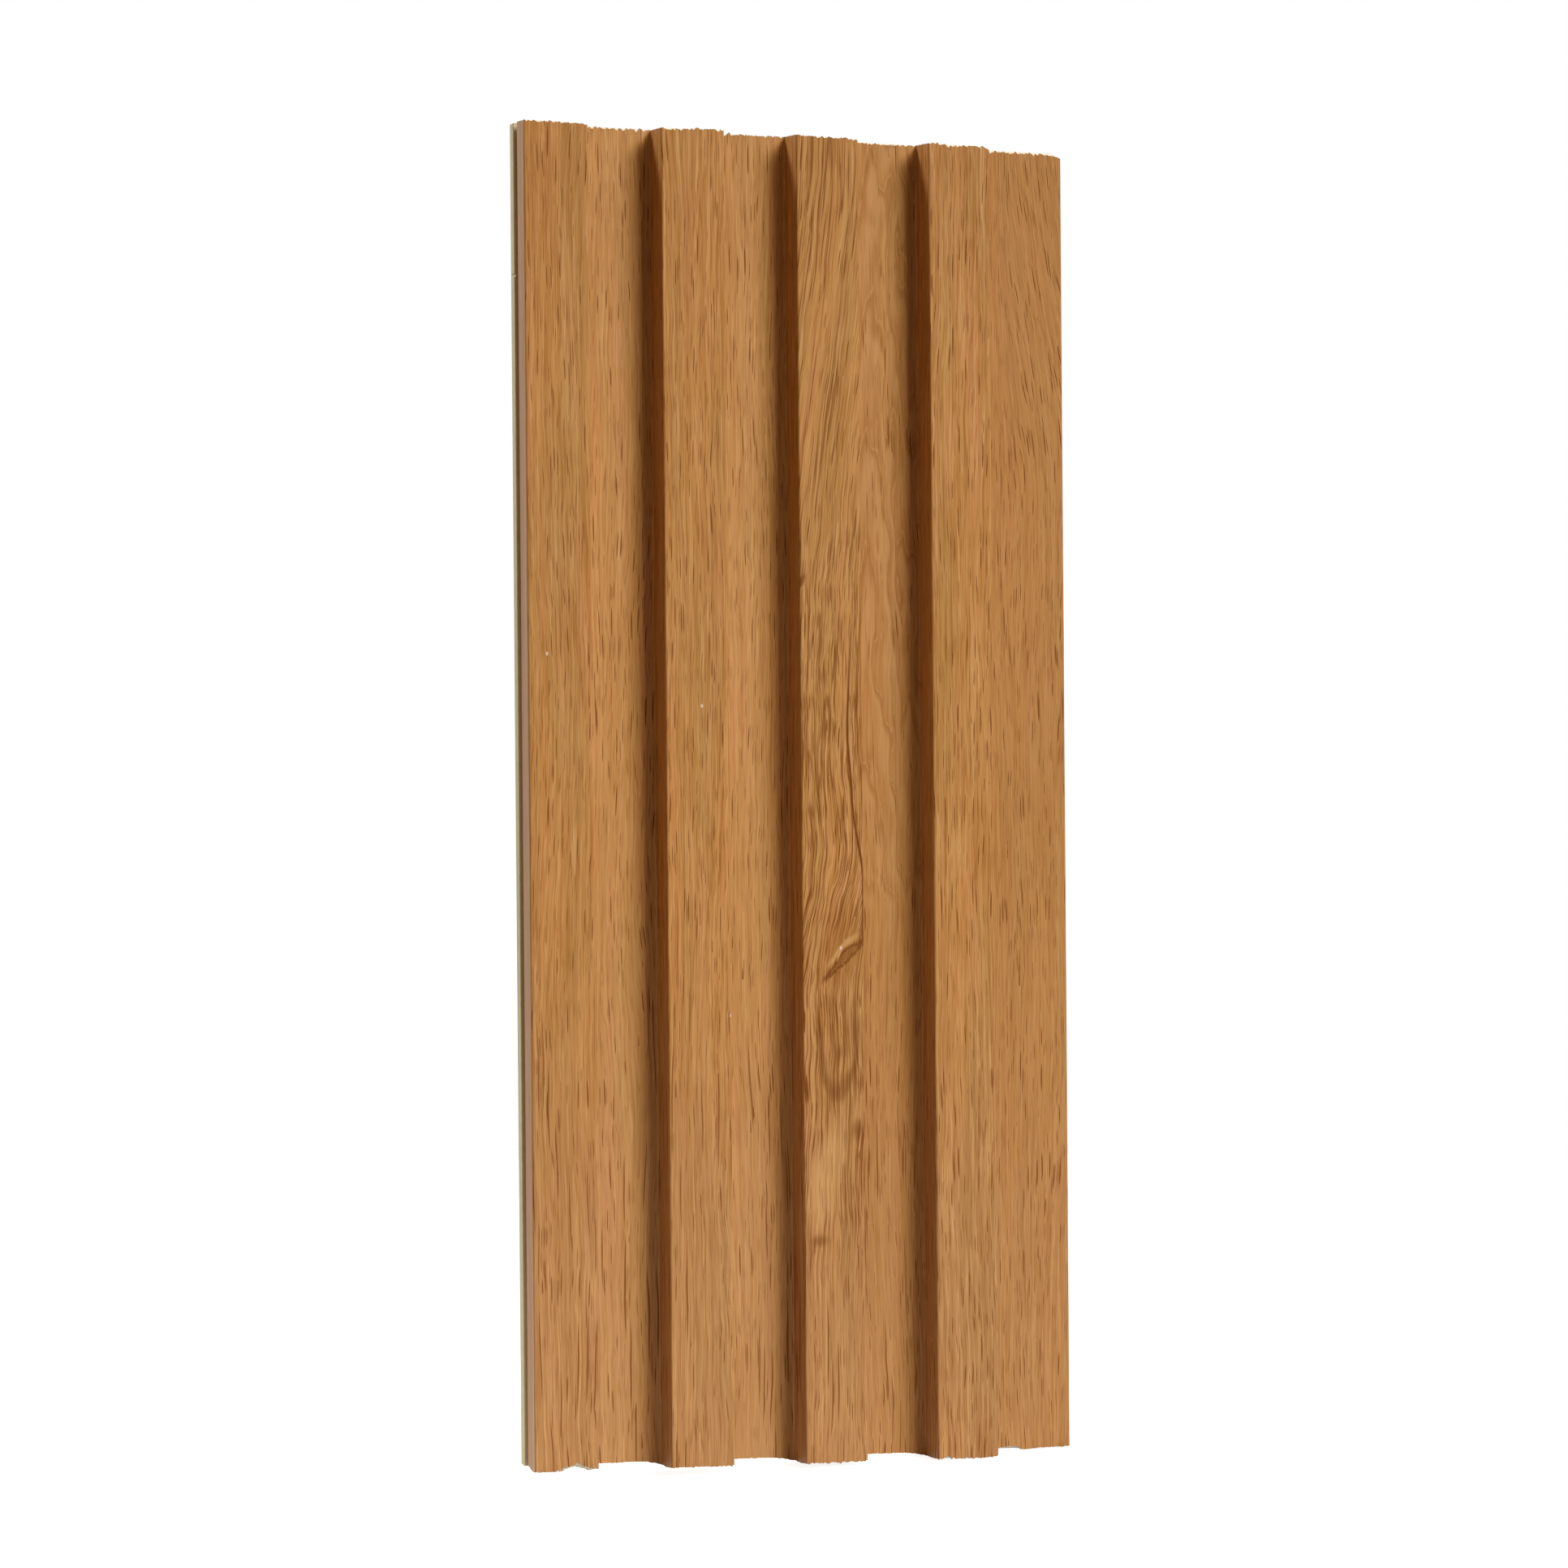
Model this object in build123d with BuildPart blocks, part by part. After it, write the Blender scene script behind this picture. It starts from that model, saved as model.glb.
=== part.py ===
from build123d import *
import math
import os

# A sawn sample of a slat wall panel: an extruded foam core with a wood-grain decor film wrapped
# over its front. X runs across the slats, Z along them, and the slats face -Y. The origin is the
# middle of the back face, which goes against the wall.

# Section, in millimetres, measured over the film
slat_count = 4
slat_width = 14.2
recess_width = 16.3  # the flat floor at the right of each slat
slat_height = 7.7  # recess floor to slat face
floor_thickness = 4.3  # back face to recess floor
sample_length = 287.4  # along the slats, between the two saw cuts

# Decor film
film_thickness = 0.25
edge_radius = 0.2  # the core's own, under the film, along the edges of a slat
foot_radius = 0.4  # the film's, where a slat meets the recess floor
film_tuck = 1.6  # how far the film runs into the groove, under the first slat

# Side joint: the last recess floor runs on as a tongue, which enters the next panel's groove
tongue_length = 3.75  # past the last pitch line
tongue_thickness = 1.4
joint_clearance = 0.1  # between the tongue and each side of its groove
lip_undercut = 0.6  # the first slat's outer wall leans in by this, so the joint closes at the front
back_lip_setback = 0.3  # the groove's rear lip stands back from the pitch line by this
core_radius = 0.25  # corners of the bare core

# Shallow lengthwise flutes that key the adhesive on the back
flutes_per_pitch = 4
flute_width = 3.2
flute_depth = 0.5

# The two parallel saw cuts, in degrees out of square
cut_mitre = 1.3  # seen from the front
cut_bevel = 2.8  # seen from the side
saw_waste = 2.0  # cut from each end of the blank, beyond the slope of the cut

# A flake broken out of the first slat's lower end, which runs out towards the back
flake_start = 5.5  # from the slat's outer edge
flake_width = 8.2
flake_height = 1.7
flake_peak = 4.0  # from where it starts to its highest point
flake_run = 10.5  # from the slat's face to where it runs out

slat_pitch = slat_width + recess_width
cover_width = slat_count * slat_pitch
left = -cover_width / 2  # pitch line at the first slat's outer edge
right = cover_width / 2
floor_y = -floor_thickness
front_y = floor_y - slat_height
bend_radius = edge_radius + film_thickness
tongue_tip_x = right + tongue_length
tongue_back_y = floor_y + tongue_thickness
shoulder_x = right + back_lip_setback - joint_clearance
groove_front_y = floor_y - joint_clearance
groove_back_y = tongue_back_y + joint_clearance
groove_bottom_x = left + tongue_length + joint_clearance
lip_foot_x = left + lip_undercut
film_start_x = lip_foot_x + film_tuck

# The film's outer line across the panel, from inside the groove to the tip of the tongue
film_points = [(film_start_x, groove_front_y), (lip_foot_x, groove_front_y), (left, front_y)]
film_bends = [bend_radius, bend_radius]
for slat in range(slat_count):
    slat_left = left + slat * slat_pitch
    slat_right = slat_left + slat_width
    if slat > 0:
        film_points += [(slat_left, floor_y), (slat_left, front_y)]
        film_bends += [foot_radius, bend_radius]
    film_points += [(slat_right, front_y), (slat_right, floor_y)]
    film_bends += [bend_radius, foot_radius]
film_points += [(tongue_tip_x, floor_y), (tongue_tip_x, tongue_back_y)]
film_bends += [bend_radius]

# The bare line of the core, from the tongue's tip round the back and into the groove
core_points = [
    (tongue_tip_x, tongue_back_y),
    (shoulder_x, tongue_back_y),
    (shoulder_x, 0),
    (left + back_lip_setback, 0),
    (left + back_lip_setback, groove_back_y),
    (groove_bottom_x, groove_back_y),
    (groove_bottom_x, groove_front_y),
    (film_start_x, groove_front_y),
]

# Saw planes, tilted by the mitre and the bevel about the middle of each end
mitre_slope = math.tan(math.radians(cut_mitre))
bevel_slope = math.tan(math.radians(cut_bevel))
saw_direction = (mitre_slope, -bevel_slope, 1)
top_cut = Plane(origin=(0, 0, sample_length / 2), z_dir=saw_direction)
bottom_cut = Plane(origin=(0, 0, -sample_length / 2), z_dir=saw_direction)
end_slope = abs(mitre_slope) * tongue_tip_x - abs(bevel_slope) * front_y
blank_length = sample_length + 2 * (end_slope + saw_waste)
blank_foot = Plane.XY.offset(-blank_length / 2)

# The flake leaves along a slope that falls from its height at the slat's face to the saw cut
flake_x = left + flake_start
flake_foot_z = -sample_length / 2 - mitre_slope * flake_x + bevel_slope * front_y
flake_angle = math.atan(flake_height / flake_run - bevel_slope)
flake_direction = (0, math.cos(flake_angle), -math.sin(flake_angle))
flake_face = Plane(origin=(flake_x, front_y, flake_foot_z), x_dir=(1, 0, 0), z_dir=flake_direction)
flake_points = [
    (0, -saw_waste),
    (0, 0),
    (flake_peak, flake_height),
    (flake_width, 0),
    (flake_width, -saw_waste),
]

# Section of the film: the outer line, thickened inwards
with BuildSketch() as film_section:
    with BuildLine():
        FilletPolyline(*film_points, radius=film_bends)
        offset(amount=film_thickness, side=Side.LEFT)
    make_face()

# Section of the core: the whole outline less the film and the flutes
with BuildSketch() as core_section:
    with BuildLine():
        FilletPolyline(*film_points, radius=film_bends)
        FilletPolyline(*core_points, radius=core_radius)
    make_face()
    add(film_section.sketch, mode=Mode.SUBTRACT)
    with GridLocations(slat_pitch / flutes_per_pitch, 0, slat_count * flutes_per_pitch, 1):
        Rectangle(flute_width, 2 * flute_depth, mode=Mode.SUBTRACT)

# What the broken flake takes away
with BuildPart() as flake:
    with BuildSketch(flake_face):
        with BuildLine():
            Polyline(*flake_points, close=True)
        make_face()
    extrude(amount=flake_run + saw_waste, both=True)

# Foam core
with BuildPart() as panel_core:
    with BuildSketch(blank_foot):
        add(core_section.sketch)
    extrude(amount=blank_length)
    split(bisect_by=top_cut, keep=Keep.BOTTOM)
    split(bisect_by=bottom_cut, keep=Keep.TOP)
    add(flake.part, mode=Mode.SUBTRACT)

# Decor film
with BuildPart() as decor_film:
    with BuildSketch(blank_foot):
        add(film_section.sketch)
    extrude(amount=blank_length)
    split(bisect_by=top_cut, keep=Keep.BOTTOM)
    split(bisect_by=bottom_cut, keep=Keep.TOP)
    add(flake.part, mode=Mode.SUBTRACT)

os.makedirs("parts", exist_ok=True)
panel_core.part.label = "panel_core"
export_step(panel_core.part, "parts/panel_core.step")
decor_film.part.label = "decor_film"
export_step(decor_film.part, "parts/decor_film.step")
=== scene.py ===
import bpy
import math
from mathutils import Matrix, Vector, noise
from types import SimpleNamespace


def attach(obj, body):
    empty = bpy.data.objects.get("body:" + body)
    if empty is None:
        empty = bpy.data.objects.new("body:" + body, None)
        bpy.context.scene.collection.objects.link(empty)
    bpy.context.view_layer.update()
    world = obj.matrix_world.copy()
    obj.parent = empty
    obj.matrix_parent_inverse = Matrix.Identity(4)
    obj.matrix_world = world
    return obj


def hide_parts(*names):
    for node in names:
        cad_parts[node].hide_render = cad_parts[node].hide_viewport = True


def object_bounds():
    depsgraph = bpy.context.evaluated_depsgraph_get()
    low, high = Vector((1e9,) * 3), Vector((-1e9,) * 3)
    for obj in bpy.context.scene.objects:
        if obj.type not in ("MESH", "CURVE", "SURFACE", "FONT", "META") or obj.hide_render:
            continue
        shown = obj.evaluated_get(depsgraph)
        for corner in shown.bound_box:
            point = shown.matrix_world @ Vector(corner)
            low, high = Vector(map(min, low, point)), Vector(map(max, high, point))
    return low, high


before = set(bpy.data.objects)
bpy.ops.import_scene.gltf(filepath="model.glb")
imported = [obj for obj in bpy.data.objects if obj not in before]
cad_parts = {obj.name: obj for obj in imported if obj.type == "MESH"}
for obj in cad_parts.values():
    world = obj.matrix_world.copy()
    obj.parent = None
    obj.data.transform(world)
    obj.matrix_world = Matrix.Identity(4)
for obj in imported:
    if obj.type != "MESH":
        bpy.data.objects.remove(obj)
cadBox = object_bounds()
print("frame loaded:", sorted(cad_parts))

mm = 0.001

# the panel's section in mm: the slats face -Y and the back lies on Y = 0
section = {
    "slats": 4,
    "slatWidth": 14.2,
    "recessWidth": 16.3,
    "frontY": -12.0,
    "floorY": -4.3,
    "undercut": 0.6,        # the first slat's outer wall leans in by this
    "grooveFrontY": -4.4,
    "grooveBackY": -2.8,
    "grooveDepth": 3.85,
    "filmTuck": 1.6,        # film that runs on into the groove
    "lipSetback": 0.3,
    "tongue": 3.75,
    "tongueBackY": -2.9,
    "shoulder": 0.2,        # the core's right shoulder, past the pitch line
    "film": 0.25,
    "edgeRadius": 0.45,     # the film's, along the slat edges
    "footRadius": 0.4,      # the film's, where a slat meets the recess
    "coreRadius": 0.25,
    "flutes": 16,
    "fluteWidth": 3.2,
    "fluteDepth": 0.5,
}

# the two saw cuts: the sample's length between them, and degrees out of square
sawCut = {"length": 287.4, "mitre": 1.3, "bevel": 2.8}

pitch = section["slatWidth"] + section["recessWidth"]
leftX = -section["slats"] * pitch / 2
rightX = -leftX
tipX = rightX + section["tongue"]
lipX = leftX + section["undercut"]
frontY, floorY = section["frontY"], section["floorY"]
wall = floorY - frontY
repeat = pitch + 2 * wall       # from one slat to the next along the film
slat3 = 2 * repeat              # where the figured slat starts along the film
halfLength = sawCut["length"] / 2
mitreSlope = math.tan(math.radians(sawCut["mitre"]))
bevelSlope = math.tan(math.radians(sawCut["bevel"]))
pastGroove = leftX + 5          # beyond the groove's bottom
filmBackY = -3.0                # every flat that lies under the film is in front of this
slack = 0.01                    # a corner this close to a line lies on it


# drawing an outline with operators

def startOutline(name, point):
    # a small plane with three corners deleted and the fourth moved to the first point
    bpy.ops.object.select_all(action="DESELECT")
    bpy.ops.mesh.primitive_plane_add(size=2 * mm)
    piece = bpy.context.active_object
    piece.name = piece.data.name = name
    pick(piece, lambda co: co.x > 0 or co.y > 0)
    bpy.ops.mesh.delete(type="VERT")
    bpy.ops.mesh.select_all(action="SELECT")
    move = (point[0] * mm + mm, point[1] * mm + mm, 0)
    bpy.ops.transform.translate(value=move)
    return piece


def pick(piece, corners=None, edges=None):
    # selects only the vertices or the edges that the test accepts
    bpy.context.view_layer.objects.active = piece
    if piece.mode != "EDIT":
        bpy.ops.object.mode_set(mode="EDIT")
    bpy.ops.mesh.select_mode(type="VERT" if corners else "EDGE")
    bpy.ops.mesh.select_all(action="DESELECT")
    bpy.ops.object.mode_set(mode="OBJECT")
    mesh = piece.data
    if corners:
        for vertex in mesh.vertices:
            vertex.select = corners(vertex.co)
    if edges:
        for edge in mesh.edges:
            edge.select = edges(*(mesh.vertices[i].co for i in edge.vertices))
    bpy.ops.object.mode_set(mode="EDIT")


def drawOutline(name, points):
    # runs one edge after another from point to point, in mm
    piece = startOutline(name, points[0])
    for here, there in zip(points, points[1:]):
        step = ((there[0] - here[0]) * mm, (there[1] - here[1]) * mm, 0)
        bpy.ops.mesh.extrude_region_move(TRANSFORM_OT_translate={"value": step})
    return piece


def roundCorners(piece, radius, test, segments=4):
    # bends the outline at each corner, in mm, that the test accepts
    pick(piece, lambda co: test(co.x / mm, co.y / mm))
    bpy.ops.mesh.bevel(offset=radius * mm, segments=segments, affect="VERTICES")


def divideOutline(piece, spacing):
    # cuts each straight run into even steps, closer on the flats that lie under the film
    bpy.ops.object.mode_set(mode="OBJECT")
    mesh = piece.data
    spans = {}
    for edge in mesh.edges:
        a, b = (mesh.vertices[i].co for i in edge.vertices)
        length = (a - b).length / mm
        flat = abs(a.y - b.y) < abs(a.x - b.x)
        underFilm = flat and min(a.y, b.y) < filmBackY * mm
        step = spacing["flats"] if underFilm else spacing["rest"]
        cuts = round(length / step) - 1
        if cuts > 0:
            spans.setdefault(cuts, set()).add(round(length, 2))
    for cuts, lengths in spans.items():
        pick(piece, edges=lambda a, b: round((a - b).length / mm, 2) in lengths)
        bpy.ops.mesh.subdivide(number_cuts=cuts)
    bpy.ops.mesh.select_all(action="SELECT")


def raiseOutline(piece, rows):
    # extrudes all that is selected up the slats, from row to row, in mm
    bpy.ops.mesh.select_all(action="SELECT")
    bpy.ops.transform.translate(value=(0, 0, rows[0] * mm))
    for here, there in zip(rows, rows[1:]):
        step = (0, 0, (there - here) * mm)
        bpy.ops.mesh.extrude_region_move(TRANSFORM_OT_translate={"value": step})


def filmCorners():
    # the film's outer corners, from inside the groove to behind the tongue's tip
    grooveY = section["grooveFrontY"]
    corners = [(lipX + section["filmTuck"], grooveY), (lipX, grooveY)]
    for slat in range(section["slats"]):
        start = leftX + slat * pitch
        end = start + section["slatWidth"]
        if slat:
            corners.append((start, floorY))
        corners += [(start, frontY), (end, frontY), (end, floorY)]
    return corners + [(tipX, floorY), (tipX, section["tongueBackY"])]


def coreCorners():
    # the core under the film, then round the tongue, the fluted back and the groove
    skin = section["film"]
    grooveY, backY = section["grooveFrontY"], section["grooveBackY"]
    filmEnd = lipX + section["filmTuck"]
    corners = [(filmEnd, grooveY), (filmEnd, grooveY - skin), (lipX + skin, grooveY - skin)]
    for slat in range(section["slats"]):
        start = leftX + slat * pitch + skin
        end = start + section["slatWidth"] - 2 * skin
        if slat:
            corners.append((start, floorY + skin))
        corners += [(start, frontY + skin), (end, frontY + skin), (end, floorY + skin)]
    tongueX, shoulderX = tipX - skin, rightX + section["shoulder"]
    corners += [
        (tongueX, floorY + skin),
        (tongueX, section["tongueBackY"]),
        (shoulderX, section["tongueBackY"]),
        (shoulderX, 0),
    ]
    flutePitch = section["slats"] * pitch / section["flutes"]
    half, depth = section["fluteWidth"] / 2, section["fluteDepth"]
    for flute in range(section["flutes"]):
        middle = rightX - (flute + 0.5) * flutePitch
        corners += [
            (middle + half, 0),
            (middle + half, -depth),
            (middle - half, -depth),
            (middle - half, 0),
        ]
    backX = leftX + section["lipSetback"]
    bottomX = leftX + section["grooveDepth"]
    return corners + [(backX, 0), (backX, backY), (bottomX, backY), (bottomX, grooveY)]


# where a point of the section lies along the developed film

filmRun = []            # (start corner, direction, length, distance along the film)
travelled = 0
corners = filmCorners()
for here, there in zip(corners, corners[1:]):
    run = Vector(there) - Vector(here)
    filmRun.append((Vector(here), run.normalized(), run.length, travelled))
    travelled += run.length
faceStart = filmRun[2][3]   # the first slat's outer edge is 0
placeSeen = {}


def placeOnFilm(x, y):
    # distance along the film from the first slat's outer edge, and depth behind the film, in mm
    key = (round(x, 3), round(y, 3))
    if key not in placeSeen:
        best = None
        for corner, direction, length, start in filmRun:
            away = Vector((x, y)) - corner
            along = min(max(away.dot(direction), 0), length)
            gap = (away - direction * along).length
            if best is None or gap < best[1] - 1e-6:
                best = (start + along - faceStart, gap)
        placeSeen[key] = best
    return placeSeen[key]


# how the sawn ends broke: (distance along the film, material lost), in mm
brokenEnds = {
    "top": (
        (-9, 0.2), (-7.6, 0.1), (0, 0.35), (12, 0.3), (14.2, 0.55), (21.9, 0.35), (38.2, 0.25),
        (45.9, 0.2), (47.5, 0.45), (51, 0.25), (54, 0), (58, -0.1), (60, 0.1), (67.8, 0.1),
        (84, -0.05), (91.8, 0), (97, 0.2), (103, 0.1), (106, 0.4), (113.7, 0.2), (125, 0.35),
        (130, 0.15), (138, 0.15), (140, 0.1), (143, 0.55), (146, 0.25), (150.5, 0.2),
        (152, 0.9), (159.6, 0.4), (175, 0.5), (178, 0.7), (179.6, 1.2), (182, 1.2),
    ),
    "bottom": (
        (-9, 0.5), (-7.6, 0.5), (-5, 0.25), (-3, 0.1), (-1.5, 0.25), (0, 0.45), (4.8, 0.4), (5.6, 0.65),
        (6.3, 1.15), (7.6, 1.45), (9.5, 2.15), (10.4, 1.4), (12, 1.15), (13.2, 0.8), (14.2, 0.75),
        (21.9, 0.3), (29, 0.3), (31.5, 0.5), (34, 0.4), (36.5, 0), (38.2, -0.4), (42, -0.25),
        (45.9, 0.3), (59, 0.3), (60.1, 0.5), (67.8, 0.2), (77, 0.2), (80.5, 0.05), (84, -0.6),
        (88, -0.35), (91.8, 0.15), (105, 0.2), (106, 0.4), (113.7, 0.2), (124, 0.2),
        (127, 0), (130, -0.55), (134, -0.3), (137.7, 0.1), (139.3, 0.15), (139.6, 0.65),
        (140.4, 0.6), (140.8, 0.05), (149, 0), (152, 0.4), (159.6, 0.5), (163, 0.6),
        (165.8, 0.85), (167.4, 0.7), (167.8, 0.05), (169.5, 0), (172, 0.25), (179.6, 0.35),
        (182, 0.4),
    ),
}

# the flake broken out of the first slat's lower end, as in the solids
flake = {"start": 5.5, "width": 8.2, "height": 1.7, "peak": 4.0, "run": 10.5}

# the saw's tear-out, in mm
tearOut = {
    "band": 3.6,            # how far up the slats the ends are worked
    "tooth": 0.46,          # depth of the larger teeth of film
    "splinter": 0.42,       # of the finer ones
    "calmWall": 0.25,       # share of that on the walls, which the saw left cleaner
    "roughFloor": {"top": 1.3, "bottom": 0.3},     # share of it on the recess floors
    "fadeFrom": 0.3,        # behind the film the chips fade out over this stretch
    "fadeOver": 1.2,
    "lipTop": 0.35,         # off the top of the groove's rear lip
    "lipReach": 4.0,        # from the pitch line to where that runs out
    "crumb": 0.07,          # roughness of the sawn foam
    "sawMark": 0.03,
}


def alongList(pairs, s):
    # the loss at s, with straight lines between the listed places
    for (a, low), (b, high) in zip(pairs, pairs[1:]):
        if s <= b:
            return low + (high - low) * min(max((s - a) / (b - a), 0), 1)
    return pairs[-1][1]


def flakeLoss(x, y):
    # what the flake took: a low peak with a torn rim, less deep towards the back
    s = x - leftX - flake["start"]
    if not 0 < s < flake["width"]:
        return 0
    rise = min(s / flake["peak"], (flake["width"] - s) / (flake["width"] - flake["peak"]))
    teeth = 0.3 * noise.noise(Vector((x * 2.6, 4, y * 0.4)))
    teeth += 0.35 * noise.noise(Vector((x * 6.1, 2, y * 0.4)))
    rise += teeth * min(rise, 1 - rise) * 2
    return max(0, flake["height"] * (rise - (y - frontY) / flake["run"]))


def lostAt(x, y, end):
    # how much of the end is missing at a place of the section, in mm; the noises' scales are per mm
    s, depth = placeOnFilm(x, y)
    seed = 11 if end == "top" else 47
    along = s % repeat
    past = along - section["slatWidth"]
    if s < 0 or 0 < past < wall or along > repeat - wall:
        share = tearOut["calmWall"]
    else:
        share = tearOut["roughFloor"][end] if past > 0 else 1
    tooth = noise.noise(Vector((s * 1.1, seed, 0)))
    tooth += 0.6 * noise.noise(Vector((s * 2.3, seed, 5)))
    splinter = abs(noise.noise(Vector((s * 4.1, seed, 9))))
    loss = alongList(brokenEnds[end], s)
    loss += share * (tearOut["tooth"] * tooth + tearOut["splinter"] * splinter)
    fade = 1 - min(max((depth - tearOut["fadeFrom"]) / tearOut["fadeOver"], 0), 1)
    crumb = noise.noise(Vector((x * 3.1, y * 3.1, seed)))
    crumb += 0.5 * noise.noise(Vector((x * 7.3, y * 7.3, seed)))
    mark = math.sin(y * 5.2 + 0.4 * x * mitreSlope)
    foam = (1 - fade) * (tearOut["crumb"] * (1 + crumb) + tearOut["sawMark"] * mark)
    gone = fade * loss + foam
    onFirstSlat = x < leftX + section["slatWidth"] - 0.1
    onLip = y > section["grooveBackY"] - 0.1 and x < leftX + tearOut["lipReach"]
    if end == "bottom" and onFirstSlat:
        gone = max(gone, flakeLoss(x, y))
    if end == "top" and onLip:
        worn = 1 + noise.noise(Vector((x * 2, y * 2, 7)))
        gone += tearOut["lipTop"] * (1 - (x - leftX) / tearOut["lipReach"]) * worn
    return gone


def breakEnds(piece):
    # slopes the rows to the saw cuts and takes away what the ends have lost
    bpy.ops.object.mode_set(mode="OBJECT")
    band = tearOut["band"]
    seen = {}
    for vertex in piece.data.vertices:
        x, y, z = (c / mm for c in vertex.co)
        end = "top" if z > 0 else "bottom"
        inside = halfLength - abs(z)
        z += bevelSlope * y - mitreSlope * x
        if inside < band:
            key = (round(x, 3), round(y, 3), end)
            if key not in seen:
                seen[key] = lostAt(x, y, end)
            loss = seen[key] * (1 - inside / band)
            z += -loss if end == "top" else loss
        vertex.co.z = z * mm
        vertex.co.x = max(vertex.co.x, cadBox[0].x)


def rowsAlong(nearEnd, middle, extra=()):
    # rows in mm from the lower end to the upper, close together near both
    lower = [-halfLength + d for d in nearEnd]
    inner = halfLength - nearEnd[-1]
    steps = [inner * (2 * (i + 1) / (middle + 1) - 1) for i in range(middle)]
    return sorted(lower + steps + list(extra) + [-row for row in lower])


def applyModifiers(piece):
    bpy.ops.object.mode_set(mode="OBJECT")
    bpy.ops.object.select_all(action="DESELECT")
    piece.select_set(True)
    bpy.context.view_layer.objects.active = piece
    for modifier in list(piece.modifiers):
        bpy.ops.object.modifier_apply(modifier=modifier.name)


# the decor film's rows near each end and between, and its steps round the outline, in mm
filmRows = {
    "near": (0, 0.12, 0.3, 0.55, 0.9, 1.4, 2.2, 3.6),
    "middle": 12,
    "spacing": {"flats": 0.2, "rest": 0.34},
}


def makeFilm():
    piece = drawOutline("oakFilm", filmCorners())
    isFoot = lambda x, y: abs(y - floorY) < slack and x < rightX
    isEdge = lambda x, y: not isFoot(x, y) and (
        y < frontY + slack
        or abs(x - lipX) < slack
        or (abs(x - tipX) < slack and y < floorY + slack)
    )
    roundCorners(piece, section["footRadius"], isFoot)
    roundCorners(piece, section["edgeRadius"], isEdge)
    divideOutline(piece, filmRows["spacing"])
    raiseOutline(piece, rowsAlong(filmRows["near"], filmRows["middle"]))
    bpy.ops.mesh.select_all(action="SELECT")
    bpy.ops.mesh.normals_make_consistent(inside=False)
    bpy.ops.object.mode_set(mode="OBJECT")
    front = next(f for f in piece.data.polygons if f.center.y < (frontY + slack) * mm)
    if front.normal.y > 0:
        bpy.ops.object.mode_set(mode="EDIT")
        bpy.ops.mesh.select_all(action="SELECT")
        bpy.ops.mesh.flip_normals()
        bpy.ops.object.mode_set(mode="OBJECT")
    shell = piece.modifiers.new("thickness", "SOLIDIFY")
    shell.thickness = section["film"] * mm
    shell.offset = -1
    shell.use_even_offset = True
    shell.material_offset_rim = 1
    piece.data.materials.append(oakPrintAndPaintedLight())
    piece.data.materials.append(filmEdge())
    applyModifiers(piece)
    breakEnds(piece)
    grain = piece.data.attributes.new("grainPlace", "FLOAT_VECTOR", "POINT")
    for vertex, value in zip(piece.data.vertices, grain.data):
        x, y, z = (c / mm for c in vertex.co)
        value.vector = (placeOnFilm(x, y)[0], z, 0)
    return piece


# the foam core's rows and steps, in mm
coreRows = {
    "near": (0, 0.3, 0.8, 1.8, 3.6),
    "middle": 12,
    "spacing": {"flats": 0.25, "rest": 0.8},
    "grid": 0.7,            # across the sawn ends
    "tornRim": (1.6, 0.6),  # sawn foam shows this far from the ends, and behind the recess floor
}

# a nick in the groove's rear lip, in mm; it deepens from near the back towards the groove
lipNick = {
    "height": 111.0,
    "size": 0.7,
    "depth": 0.3,
    "startsAt": 0.6,        # in front of the back face
    "deepensOver": 1.6,
    "lipEdge": 0.6,         # only what is this near to the pitch line moves
    "rows": (-0.5, -0.2, 0.2, 0.5),     # in sizes from its middle; the inner two move
}


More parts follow.
